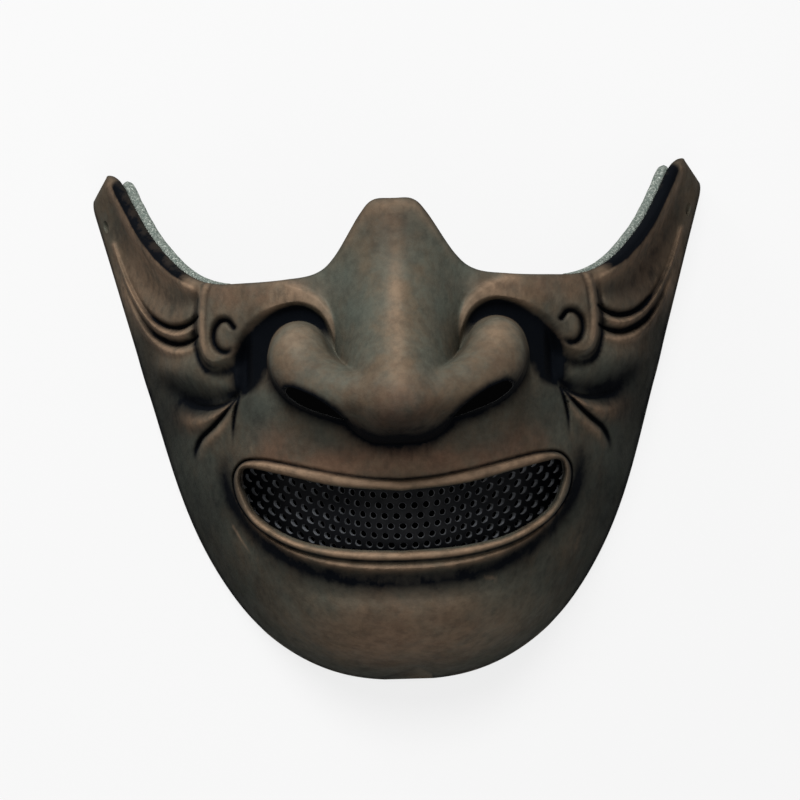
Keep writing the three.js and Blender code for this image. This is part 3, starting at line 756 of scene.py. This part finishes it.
def strapCutter():
    bm = bmesh.new()
    middle = Matrix.Translation(rowPoint(0, strapHoles["up"], strapHoles["front"]))
    turned = middle @ Matrix.Rotation(math.pi / 2, 4, "Y")
    radius = strapHoles["radius"] * mm
    bmesh.ops.create_cone(bm, cap_ends=True, segments=strapHoles["sides"], radius1=radius, radius2=radius,
                          depth=strapHoles["length"] / 1000, matrix=turned)
    # the strap holes' walls are darkened, as painted shade inside them
    return painted(pieceOf("strapCutter", meshFrom("strapCutter", bm)), {"shadeAndWash": 0.8})


# The points that a cut makes carry no paint of their own; the nostrils are darkened fully here, as painted
# shade inside them.
def darkenNostrils(mesh):
    places = np.empty(len(mesh.vertices) * 3)
    mesh.vertices.foreach_get("co", places)
    x, y, z = places.reshape(-1, 3).T / mm
    up = (y - shiftY) * leanCos + (z - shiftZ) * leanSin
    slit = insideOutline(np.abs(x), up, nostrilOutline())
    shadeAndWash = np.empty(len(mesh.vertices))
    mesh.attributes["shadeAndWash"].data.foreach_get("value", shadeAndWash)
    shadeAndWash[slit > -nostrils["darkReach"]] = 1
    mesh.attributes["shadeAndWash"].data.foreach_set("value", shadeAndWash)


# The rounded top rim: half a turn from the outer skin's last row to the inner one's.
def rimRoll(outer, inner, middle):
    half = (outer - inner) / 2
    outward = np.cross(np.gradient(middle, axis=0), half)
    outward /= np.linalg.norm(outward, axis=1)[:, None] + 1e-9
    outward *= np.sign(outward[:, 1:2] + 1e-9)
    reach = np.minimum(np.linalg.norm(half, axis=1), shell["rollRadius"])[:, None]
    turns = np.linspace(0, math.pi, shell["rollSteps"] + 1)[1:-1]
    return np.stack([middle + half * math.cos(turn) + outward * reach * math.sin(turn) for turn in turns])


def maskShell():
    columns, rows, innerRows = shell["columns"], shell["rows"], shell["innerRows"]
    upward, across = np.meshgrid(np.linspace(0, 1, rows + 1), np.linspace(0, 1, columns + 1), indexing="ij")
    for axis in (0, 1, 0, 1):
        moved = equalise(across, upward, axis)
        upward, across = (moved, across) if axis == 0 else (upward, moved)
    innerIndex = np.rint(np.linspace(rows, 0, innerRows + 1)).astype(int)
    nearest = innerIndex[np.abs(np.arange(rows + 1)[:, None] - innerIndex[None]).argmin(1)]
    upward[:, -1] = upward[nearest, -1]  # the two skins share their places where they meet at a horn's end
    side, up = skinPlace(across, upward)
    front = skinFront(side, up)
    values = paintFields(side, up, front)

    outer = np.stack([side, up, front], -1)
    inner = insetFace(side, up, face["wall"])
    inner[..., 2] += innerRelief(inner[..., 0], inner[..., 1])
    taper = np.clip((across - (1 - shell["tipTaper"])) / shell["tipTaper"], 0, 1)
    thick = np.sqrt(1 - taper ** 2)[..., None]
    middle = (outer + inner) / 2
    outer, inner = middle + (outer - middle) * thick, middle + (inner - middle) * thick

    roll = rimRoll(outer[-1], inner[-1], middle[-1])
    sheet = np.concatenate([outer, roll, inner[innerIndex], outer[:1]])
    turned = np.linspace(0, 1, len(roll) + 2)[1:-1, None]
    fields = {}
    for key, field in values.items():
        rest = np.full((len(roll) + innerRows + 1, columns + 1), insidePaint[key])
        rest[:len(roll)] = field[-1] + turned * (insidePaint[key] - field[-1])
        fields[key] = np.concatenate([field, rest, field[:1]])

    full = np.concatenate([(sheet * (-1, 1, 1))[:, :0:-1], sheet], 1)
    placed = toRow(full[..., 0], full[..., 1], full[..., 2])
    placed[..., 1] = np.maximum(placed[..., 1], shellLow.y)  # the chin stays inside the shell's own box
    fields = {key: np.concatenate([field[:, :0:-1], field], 1) for key, field in fields.items()}
    fields["scratch"] = scratchField(full[..., 0], full[..., 1]) * (np.arange(len(full)) <= rows)[:, None]
    # painted shade on the right half only
    rightHalfShade = spots(full[..., 0], full[..., 1], paint["shadeRightHalf"])
    fields["shadeAndWash"] = np.clip(fields["shadeAndWash"] + rightHalfShade, 0, 1)
    mesh = gridMesh("maskShell", 2 * columns, len(sheet) - 1, placed, fields)
    cleaned(mesh)
    piece = pieceOf("maskShell", mesh)
    cutters = [rimCutter(), straightCutter("mouthCutter", closedHalves(mouth["opening"]), *mouth["cut"])]
    cutters += [straightCutter("nostril", nostrilOutline() * (hand, 1), *nostrils["cut"]) for hand in (1, -1)]
    cutWith(piece, [*cutters, strapCutter()])
    darkenNostrils(piece.data)
    triangles = triangleCount(piece.data)
    if triangles > shell["mostTriangles"]:
        thin = piece.modifiers.new("thin", "DECIMATE")
        thin.ratio = shell["mostTriangles"] / triangles
        applied(piece)
    smoothShaded(piece.data, 55)
    print("mask shell:", triangles, "->", triangleCount(piece.data), "triangles")
    return piece


panel = {
    "halfWidth": 53.0,
    "top": -7.0,
    "bottom": -44.0,
    "lift": 7.0,  # how far its lower corners curve up
    "topDroop": 0.2,  # and its upper corners down, as a share of that
    "setback": 5.8,
    "thickness": 1.0,
    "pitch": 3.6,
    "rowGap": 3.1,
    "holeRadius": 1.02,
    "holeSides": 12,
    "rimBevel": 0.16,
    "rowBend": 10.0 / 42 ** 2,  # how the rows of holes curve up to the sides
}


# One brick-shaped cell with a round hole, its border points on the brick's edge.
def meshCell():
    bm = bmesh.new()
    sides = panel["holeSides"]
    turn = Matrix.Rotation(math.pi / sides, 4, "Z")
    bmesh.ops.create_circle(bm, segments=sides, radius=panel["holeRadius"], matrix=turn)
    hole = list(bm.edges)
    # the hole's own points carry the painted glint of its rim
    holeGlint = bm.verts.layers.float.new("holeGlint")
    for vert in bm.verts:
        vert[holeGlint] = 1.0
    made = bmesh.ops.create_circle(bm, segments=sides, radius=panel["pitch"], matrix=turn)
    halfPitch, halfRow = panel["pitch"] / 2, panel["rowGap"] / 2
    # five points along the top and the bottom edge, one halfway up each side
    border = [(halfPitch * step, halfRow) for step in (1, 0.5, 0, -0.5, -1)] + [(-halfPitch, 0)]
    border += [(-side, -up) for side, up in border]
    ordered = sorted(made["verts"], key=lambda vert: math.atan2(vert.co.y, vert.co.x) % (2 * math.pi))
    for vert, place in zip(ordered, border):
        vert.co.x, vert.co.y = place
    outer = [edge for edge in bm.edges if edge not in hole]
    bmesh.ops.bridge_loops(bm, edges=hole + outer)
    return meshFrom("meshCell", bm)


def mouthMesh():
    cell = meshCell()
    bm = bmesh.new()
    reach = panel["halfWidth"] + panel["pitch"]
    low = panel["bottom"] - panel["rowBend"] * reach ** 2 - panel["rowGap"]
    rows = int((panel["top"] - low) / panel["rowGap"]) + 2
    columns = int(reach / panel["pitch"]) + 1
    for row in range(rows):
        up = low + row * panel["rowGap"]
        for column in range(-columns, columns + 1):
            side = (column + 0.5 * (row % 2)) * panel["pitch"]
            bent = up + panel["rowBend"] * side ** 2
            if abs(side) < reach and panel["bottom"] - 4 < bent < panel["top"] + 4:
                before = len(bm.verts)
                bm.from_mesh(cell)
                bm.verts.ensure_lookup_table()
                bmesh.ops.translate(bm, verts=bm.verts[before:], vec=(side, up, 0))
    bmesh.ops.remove_doubles(bm, verts=bm.verts, dist=0.01)
    extruded(bm, list(bm.faces), (0, 0, panel["thickness"]))
    rims = [edge for edge in bm.edges if len(edge.link_faces) == 2 and edge.calc_face_angle() > 1.2
            and max(abs(vert.co.z - panel["thickness"]) for vert in edge.verts) < 0.01]
    bmesh.ops.bevel(bm, geom=rims, offset=panel["rimBevel"], segments=1, profile=0.5, affect="EDGES",
                    material=-1)
    for vert in bm.verts:
        vert.co.y += panel["rowBend"] * vert.co.x ** 2
    piece = pieceOf("mouthMesh", meshFrom("mouthMesh", bm))

    # trim the sheet to the panel's outline while it is still flat
    sides = np.linspace(-panel["halfWidth"], panel["halfWidth"], 33)
    lift = panel["lift"] * (sides / panel["halfWidth"]) ** 2
    outline = list(zip(sides, panel["bottom"] + lift))
    outline += list(zip(sides[::-1], (panel["top"] - panel["topDroop"] * lift)[::-1]))
    border = prism("panelBorder", [(side, up, -5) for side, up in outline], (0, 0, 10))
    cutWith(piece, [border], "INTERSECT")

    flat = np.empty(len(piece.data.vertices) * 3)
    piece.data.vertices.foreach_get("co", flat)
    flat = flat.reshape(-1, 3)
    side, up = flat[:, 0], flat[:, 1]
    depth = panel["setback"] + panel["thickness"] - flat[:, 2]
    placed = insetFace(side, up, depth[:, None])
    piece.data.vertices.foreach_set("co", toRow(*placed.T).astype(np.float32).ravel())
    cleaned(piece.data)
    smoothShaded(piece.data, 30)
    print("mouth mesh:", triangleCount(piece.data), "triangles")
    return piece


padding = {
    "from": 0.53,  # share of the way from the bridge to the horn tip
    "to": 0.966,
    "depth": 0.62,  # share of a column, measured down from the top rim
    "lead": 0.2,  # over which it deepens, from the share that it starts with
    "start": 0.35,
    "top": 1.02,
    "gap": 0.42,
    "thickness": 3.3,
    "edgeRadius": 1.5,
    "breadth": 60.0,
    "height": 46.0,
    "unevenness": 0.12,
    "cells": 90,
}


def foamPad(hand):
    count = padding["cells"]
    even = 0.5 - 0.5 * np.cos(np.linspace(0, math.pi, count + 1))
    upward, across = np.meshgrid(even, even, indexing="ij")
    share = padding["from"] + (padding["to"] - padding["from"]) * across
    foot = 1 - padding["depth"] * ease((share - padding["from"]) / padding["lead"] + padding["start"])
    side, up = skinPlace(share, foot + (padding["top"] - foot) * upward)
    rounding = np.ones(across.shape)
    for place, length in ((across, padding["breadth"]), (upward, padding["height"])):
        inward = np.clip(np.minimum(place, 1 - place) * length / padding["edgeRadius"], 0, 1)
        rounding *= np.sqrt(1 - (1 - inward) ** 2)
    waves = np.sin(side * 0.9 + 0.6 * np.sin(up * 0.7)) * np.sin(up * 0.8 + 1.3)
    half = padding["thickness"] / 2 * rounding
    deep = face["wall"] + padding["gap"] + padding["thickness"] / 2
    behind = half * (1 - padding["unevenness"] * (0.5 + 0.5 * waves))
    front, back = [insetFace(side, up, depth[..., None]) for depth in (deep - half, deep + behind)]
    whole = np.concatenate([front, back[::-1]])
    whole[..., 0] *= hand
    name = "foamPadRight" if hand > 0 else "foamPadLeft"
    mesh = gridMesh(name, count, len(whole) - 1, toRow(*np.moveaxis(whole, -1, 0)), {})
    cleaned(mesh)
    smoothShaded(mesh, 70)
    print("foam pad:", triangleCount(mesh), "triangles")
    return pieceOf(name, mesh)


resin = {
    "brown": (0.086, 0.065, 0.043, 1),
    "cool": (0.072, 0.081, 0.066, 1),
    "warm": (0.135, 0.074, 0.048, 1),
    # tan of rubbed wear and of painted highlights; the scratches take it too
    "worn": (0.240, 0.162, 0.105, 1),
    # blue-black of the wash and of painted shade; the flecks take it too
    "shadeAndWash": (0.0011, 0.0018, 0.0032, 1),
    # painted shade for the steep sides
    "edge": (0.027, 0.031, 0.025, 1),
    "roughness": 0.56,
    "specular": 0.05,
    "darkRoughness": 0.25,  # added where the painted shade and blue-black wash are thick
    "bump": 0.35,
    # noise scale, detail and roughness, the range that is read, and what its ends become
    "mottle": (75, 6, 0.65, 0.36, 0.64),
    "flecks": (420, 4, 0.6, 0.36, 0.68),
    "coolPatches": (95, 5, 0.6, 0.25, 0.6, 0.45),
    "warmPatches": (110, 5, 0.65, 0.3, 0.62, 0.25),
    "wornPatches": (130, 6, 0.65, 0.28, 0.6, 0.35),
    "spread": (180, 5, 0.65, 0.42, 0.78),
    "gloss": (160, 4, 0.55, 0.3, 0.7),
    # how much of each goes into the colour
    "mottleShare": 0.7,
    "flecksShare": 0.2,
    "edgeShare": 0.85,
    "spreadShare": 0.22,
    "scratchShare": 0.7,
}
sheetPaint = {
    "colour": (0.002, 0.0024, 0.0034, 1),
    # lighter rims of the holes: a painted glint
    "rim": (0.075, 0.08, 0.088, 1),
    "roughness": 0.5,
    "specular": 0.11,
}
foam = {
    "pale": (0.42, 0.46, 0.41, 1),
    "grey": (0.10, 0.125, 0.11, 1),
    "roughness": 0.95,
    "specular": 0.15,
    "grains": (1400, 5, 0.7, 0.36, 0.64),
    "cellScale": 900,
}


# One material, with short ways to add and join its nodes.
class Wiring:
    def __init__(self, name):
        self.material = bpy.data.materials.new(name)
        self.material.use_nodes = True
        self.tree = self.material.node_tree
        self.place = self.add("ShaderNodeTexCoord").outputs["Object"]

    def fill(self, node, values):
        for key, value in values.items():
            if isinstance(value, bpy.types.NodeSocket):
                self.tree.links.new(value, node.inputs[key])
            else:
                node.inputs[key].default_value = value

    def add(self, kind, values={}, **settings):
        made = self.tree.nodes.new(kind)
        for key, value in settings.items():
            setattr(made, key, value)
        self.fill(made, values)
        return made

    def noise(self, scale, detail, rough=0.55):
        values = {"Scale": scale, "Detail": detail, "Roughness": rough, "Vector": self.place}
        return self.add("ShaderNodeTexNoise", values).outputs["Fac"]

    def ramp(self, value, low, high, lowest=0.0, highest=1.0):
        values = {"Value": value, "From Min": low, "From Max": high, "To Min": lowest, "To Max": highest}
        return self.add("ShaderNodeMapRange", values, interpolation_type="SMOOTHSTEP").outputs["Result"]

    def patchy(self, scale, detail, rough, low, high, lowest=0.0, highest=1.0):
        return self.ramp(self.noise(scale, detail, rough), low, high, lowest, highest)

    def maths(self, operation, first, second):
        made = self.add("ShaderNodeMath", {0: first, 1: second}, operation=operation, use_clamp=True)
        return made.outputs["Value"]

    def times(self, first, second):
        return self.maths("MULTIPLY", first, second)

    def mix(self, share, first, second):
        return self.add("ShaderNodeMix", {"Factor": share, 6: first, 7: second}, data_type="RGBA").outputs[2]

    def attribute(self, name):
        return self.add("ShaderNodeAttribute", attribute_name=name).outputs["Fac"]

    def bump(self, height, strength, distance, before=None):
        values = {"Strength": strength, "Distance": distance, "Height": height}
        if before is not None:
            values["Normal"] = before
        return self.add("ShaderNodeBump", values).outputs["Normal"]

    def finish(self, colour, roughness, specular, **others):
        values = {"Base Color": colour, "Roughness": roughness, "Specular IOR Level": specular}
        values.update({key.replace("_", " "): value for key, value in others.items()})
        self.fill(self.tree.nodes["Principled BSDF"], values)
        return self.material


def paintedResin():
    wire = Wiring("paintedResin")
    mottle = wire.times(wire.patchy(*resin["mottle"]), resin["mottleShare"])
    colour = wire.mix(mottle, resin["brown"], resin["cool"])
    for kind in ("cool", "warm", "worn"):
        amount = wire.times(wire.attribute(kind), wire.patchy(*resin[kind + "Patches"]))
        colour = wire.mix(amount, colour, resin[kind])
    # painted shade on the steep sides
    colour = wire.mix(wire.times(wire.attribute("edge"), resin["edgeShare"]), colour, resin["edge"])
    # painted shade and blue-black wash, with a random spread of wash
    spread = wire.times(wire.patchy(*resin["spread"]), resin["spreadShare"])
    shadeAndWashAmount = wire.maths("ADD", wire.attribute("shadeAndWash"), spread)
    colour = wire.mix(shadeAndWashAmount, colour, resin["shadeAndWash"])
    colour = wire.mix(wire.times(wire.patchy(*resin["flecks"]), resin["flecksShare"]), colour, resin["shadeAndWash"])
    colour = wire.mix(wire.times(wire.attribute("scratch"), resin["scratchShare"]), colour, resin["worn"])
    rough = wire.patchy(*resin["gloss"], resin["roughness"] - 0.07, resin["roughness"] + 0.1)
    rough = wire.maths("ADD", rough, wire.times(shadeAndWashAmount, resin["darkRoughness"]))
    coarse = wire.bump(wire.noise(260, 4, 0.6), 0.3, 0.0006)
    fine = wire.bump(wire.noise(1300, 4, 0.65), resin["bump"], 0.0003, coarse)
    return wire.finish(colour, rough, resin["specular"], Normal=fine)


def blackSheet():
    wire = Wiring("blackSheet")
    # lighter hole rims: a painted glint
    holeGlint = wire.ramp(wire.attribute("holeGlint"), 0.8, 1.0)
    glintShare = wire.times(holeGlint, wire.patchy(240, 3, 0.55, 0.3, 0.6, 0.25))
    low, high = sheetPaint["roughness"] - 0.05, sheetPaint["roughness"] + 0.12
    return wire.finish(wire.mix(glintShare, sheetPaint["colour"], sheetPaint["rim"]),
                       wire.patchy(300, 3, 0.55, 0.3, 0.7, low, high), sheetPaint["specular"],
                       Normal=wire.bump(wire.noise(1500, 3), 0.15, 0.0002))


def greyFoam():
    wire = Wiring("greyFoam")
    cells = wire.add("ShaderNodeTexVoronoi", {"Scale": foam["cellScale"], "Vector": wire.place})
    pits = wire.ramp(cells.outputs["Distance"], 0.15, 0.6)
    speckle = wire.times(wire.patchy(*foam["grains"]), pits)
    return wire.finish(wire.mix(speckle, foam["grey"], foam["pale"]), foam["roughness"], foam["specular"],
                       Normal=wire.bump(speckle, 0.8, 0.0006))


view = {"aimSide": 0.3, "aimUp": 8.75, "distance": 900.0, "turn": 0.6, "roll": 1.7, "lens": 142.56}
studio = {
    "floorColour": (0.09, 0.09, 0.09, 1),
    "floorGlow": 0.80,
    "shadeInset": (0.0, 6.0),  # a painted shadow darkens the floor under the hollow: how far inside the rim, over what breadth
    "shadeFade": (43.0, 28.0),  # and pale again toward the open top: where, over what length
    "shadeColour": (0.001, 0.001, 0.001, 1),
    "world": 0.3,
    "lightAim": (0, 0, 0.05),  # the middle of the mask
    # name, place, size and power
    "lights": [("keyLight", (-0.1, 0.32, 0.94), 0.4, 11.0), ("fillLight", (0.1, -0.8, 0.9), 0.9, 3.8),
               ("sideLight", (-0.65, 0.9, 0.5), 0.6, 4.4)],
}


def floorFinish(wire, colour, glow):
    return wire.finish(colour, 1.0, 0.0, Emission_Color=(1, 1, 1, 1), Emission_Strength=glow)


# A painted shadow on the floor under the hollow, as a thin sheet just over the floor.
def floorShade():
    side, up = lowerOutline(1.0).T
    rimFront = -face["rimSetback"] - (up + face["chinDrop"]) * face["rimLean"]
    half = toRow(side, up, rimFront)[:, :2] / mm
    x, y = np.meshgrid(np.linspace(-102, 102, 103), np.linspace(-84, 84, 85))
    inside = insideOutline(x, y, np.vstack([half, (half * (-1, 1))[::-1]]), 20)
    inset, breadth = studio["shadeInset"]
    fadeAt, fadeLength = studio["shadeFade"]
    amount = ease((inside - inset) / breadth) * ease((fadeAt - y) / fadeLength)
    points = np.stack([x, y, np.full(x.shape, 0.3)], -1) * mm
    mesh = gridMesh("floorShade", 102, 84, points, {"shade": amount})
    shade = pieceOf("floorShade", mesh)
    wire = Wiring("shadedFloor")
    lit = wire.maths("SUBTRACT", 1.0, wire.attribute("shade"))
    colour = wire.mix(lit, studio["shadeColour"], studio["floorColour"])
    mesh.materials.append(floorFinish(wire, colour, wire.times(lit, studio["floorGlow"])))
    shade.visible_diffuse = shade.visible_glossy = shade.visible_shadow = False


def stageSet():
    turn, roll = math.radians(view["turn"]), math.radians(view["roll"])
    toEye = Vector((math.sin(turn), 0, math.cos(turn)))
    across = Vector((math.cos(turn), 0, -math.sin(turn)))
    upright = toEye.cross(across)
    right = across * math.cos(roll) - upright * math.sin(roll)
    top = across * math.sin(roll) + upright * math.cos(roll)
    laid = Matrix.Rotation(lean, 3, "X")
    turned = laid @ Matrix((right, top, toEye)).transposed()
    aim = rowPoint(view["aimSide"], view["aimUp"], 0)
    camera = bpy.data.objects.new("camera", bpy.data.cameras.new("camera"))
    camera.data.lens = view["lens"]
    camera.data.clip_start = 0.01
    camera.matrix_world = Matrix.Translation(aim + (laid @ toEye) * view["distance"] * mm) @ turned.to_4x4()
    bpy.context.scene.collection.objects.link(camera)
    bpy.context.scene.camera = camera

    bm = bmesh.new()
    bmesh.ops.create_grid(bm, x_segments=1, y_segments=1, size=12)
    floor = pieceOf("floor", meshFrom("floor", bm))
    floor.data.materials.append(floorFinish(Wiring("paleFloor"), studio["floorColour"], studio["floorGlow"]))
    floor.visible_diffuse = floor.visible_glossy = False  # it throws no light back at the mask's sides

    floorShade()

    world = bpy.data.worlds.new("studio")
    world.use_nodes = True
    background = world.node_tree.nodes["Background"]
    background.inputs["Color"].default_value = (1, 1, 1, 1)
    background.inputs["Strength"].default_value = studio["world"]
    bpy.context.scene.world = world
    for name, spot, size, power in studio["lights"]:
        light = bpy.data.lights.new(name, "AREA")
        light.shape = "DISK"
        light.size = size
        light.energy = power
        lamp = bpy.data.objects.new(name, light)
        facing = (Vector(spot) - Vector(studio["lightAim"])).to_track_quat("Z", "Y")
        lamp.matrix_world = Matrix.Translation(spot) @ facing.to_matrix().to_4x4()
        bpy.context.scene.collection.objects.link(lamp)
    bpy.context.scene.view_settings.view_transform = "Standard"


stageSet()
print("camera, light and floor are set")

maskPiece = maskShell()
finished(maskPiece, paintedResin())
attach(maskPiece, "root")
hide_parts("mask_shell")

meshPiece = mouthMesh()
finished(meshPiece, blackSheet())
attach(meshPiece, "root")
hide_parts("mouth_mesh")

foamMaterial = greyFoam()
for hand, node in ((-1, "lining_left"), (1, "lining_right")):
    padPiece = foamPad(hand)
    finished(padPiece, foamMaterial)
    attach(padPiece, "root")
    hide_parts(node)
